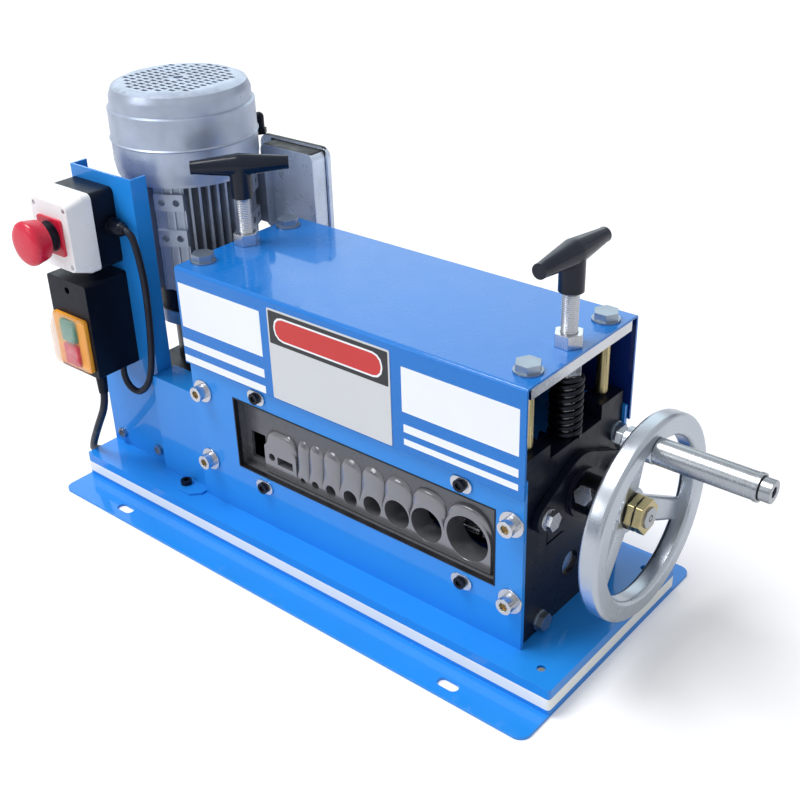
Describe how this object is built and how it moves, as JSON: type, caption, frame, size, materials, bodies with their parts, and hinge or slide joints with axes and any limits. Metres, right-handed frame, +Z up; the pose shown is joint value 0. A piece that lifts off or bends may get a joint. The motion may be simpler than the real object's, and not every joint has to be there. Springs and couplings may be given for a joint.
{
  "type": "bench wire stripper",
  "caption": "Motor-driven bench machine that slits cable sheaths: geared cutter and feed shafts behind a guide window, a cranked hand wheel and two T-handle adjusters.",
  "frame": {"origin": "middle of the four bench slots, on the bench", "axes": "+X towards the hand wheel, -Y the side where the wire goes in, +Z up"},
  "size_m": [0.6524, 0.3748, 0.36],
  "materials": {
    "machine_blue": "semi-gloss paint",
    "cover_blue": "semi-gloss paint",
    "frame_black": "satin black paint",
    "silver_paint": "satin silver paint",
    "bright_steel": "turned and bright zinc",
    "tool_steel": "ground",
    "black_steel": "black oxide",
    "yellow_zinc": "yellow passivated zinc",
    "bronze": "machined",
    "cast_aluminium": "machined casting",
    "chrome_plate": "polished",
    "moulded_grey": "moulded",
    "black_plastic": "moulded",
    "black_gloss": "moulded, polished",
    "white_plastic": "moulded",
    "red_plastic": "moulded",
    "yellow_plastic": "moulded",
    "green_plastic": "moulded",
    "clear_boot": "soft and clear",
    "cable_sheath": "satin sheath"
  },
  "bodies": {
    "machine": {"base_tray": "machine_blue", "end_frame_left": "frame_black", "end_frame_right": "frame_black", "front_plate": "machine_blue", "rear_plate": "machine_blue", "top_bars": "bright_steel", "standoff_pins": "yellow_zinc", "top_cover": "cover_blue", "cover_bolts": "bright_steel", "plate_bolts": "bright_steel", "wire_guide": "moulded_grey", "guide_washers": "bright_steel", "guide_screws": "black_steel", "switch_post": "machine_blue", "small_screws": "black_steel", "side_bracket": "machine_blue", "feed_bushes": "bronze", "screw_nuts": "bright_steel", "springs": "black_steel", "gearbox": "frame_black", "motor_flange": "cast_aluminium", "motor_adaptor": "frame_black", "motor_body": "silver_paint", "fan_cover": "silver_paint", "terminal_box": "silver_paint", "stop_box": "black_plastic", "stop_cap": "white_plastic", "stop_plate": "red_plastic", "switch_box": "black_plastic", "switch_frame": "yellow_plastic", "dust_boot": "clear_boot", "lead_glands": "black_plastic", "link_cable": "cable_sheath", "mains_lead": "cable_sheath", "mains_coil": "cable_sheath", "mains_plug": "black_plastic"},
    "carriage": {"bearing_blocks": "frame_black", "bearing_flange": "frame_black", "flange_bolts": "bright_steel"},
    "cutter_rotor": {"cutter_shaft": "bright_steel", "cutters": "tool_steel", "cutter_spacers": "bright_steel", "cutter_gear": "tool_steel", "shaft_collar": "black_steel", "hand_wheel": "chrome_plate", "wheel_nuts": "yellow_zinc", "crank_pin": "bright_steel"},
    "handle_sleeve": {"crank_sleeve": "bright_steel"},
    "feed_rotor": {"feed_shaft": "bright_steel", "feed_rollers": "tool_steel", "feed_gear": "tool_steel"},
    "left_adjuster": {"screw_left": "bright_steel", "handle_left": "black_gloss"},
    "right_adjuster": {"screw_right": "bright_steel", "handle_right": "black_gloss"},
    "motor_rotor": {"cooling_fan": "moulded_grey"},
    "stop_slide": {"stop_stem": "black_plastic"},
    "stop_head": {"stop_mushroom": "red_plastic"},
    "start_key": {"start_button": "green_plastic"},
    "stop_key": {"stop_button": "red_plastic"}
  },
  "joints": [
    {"name": "carriage_lift", "type": "slide", "parent": "machine", "child": "carriage", "axis": [0, 0, 1], "range_m": [0, 0.004], "deforming": ["springs"]},
    {"name": "cutter_spin", "type": "hinge", "parent": "carriage", "child": "cutter_rotor", "pos_m": [0, 0, 0.13], "axis": [1, 0, 0], "continuous": true},
    {"name": "sleeve_spin", "type": "hinge", "parent": "cutter_rotor", "child": "handle_sleeve", "pos_m": [0.28, -0.00514, 0.18877], "axis": [1, 0, 0], "continuous": true},
    {"name": "feed_spin", "type": "hinge", "parent": "machine", "child": "feed_rotor", "pos_m": [0, 0, 0.063], "axis": [1, 0, 0], "continuous": true},
    {"name": "left_screw_turn", "type": "hinge", "parent": "carriage", "child": "left_adjuster", "pos_m": [-0.108, 0, 0.25], "axis": [0, 0, 1], "range_deg": [0, 720]},
    {"name": "right_screw_turn", "type": "hinge", "parent": "carriage", "child": "right_adjuster", "pos_m": [0.207, 0, 0.25], "axis": [0, 0, 1], "range_deg": [0, 720]},
    {"name": "motor_spin", "type": "hinge", "parent": "machine", "child": "motor_rotor", "pos_m": [-0.208, 0.03, 0.3], "axis": [0, 0, 1], "continuous": true},
    {"name": "stop_press", "type": "slide", "parent": "machine", "child": "stop_slide", "axis": [0, 1, 0], "range_m": [0, 0.005]},
    {"name": "stop_twist", "type": "hinge", "parent": "stop_slide", "child": "stop_head", "pos_m": [-0.232, -0.11, 0.254], "axis": [0, -1, 0], "range_deg": [-45, 0], "stiffness_Nm_per_rad": 0.02},
    {"name": "start_press", "type": "slide", "parent": "machine", "child": "start_key", "axis": [0, 1, 0], "range_m": [0, 0.003], "stiffness_N_per_m": 400},
    {"name": "stop_key_press", "type": "slide", "parent": "machine", "child": "stop_key", "axis": [0, 1, 0], "range_m": [0, 0.003], "stiffness_N_per_m": 400}
  ],
  "couplings": [
    {"joint": "feed_spin", "follows": "cutter_spin", "ratio": -1},
    {"joint": "motor_spin", "follows": "cutter_spin", "ratio": 30},
    {"joint": "left_screw_turn", "follows": "carriage_lift", "rad_per_m": 3141.6},
    {"joint": "right_screw_turn", "follows": "carriage_lift", "rad_per_m": 3141.6}
  ]
}
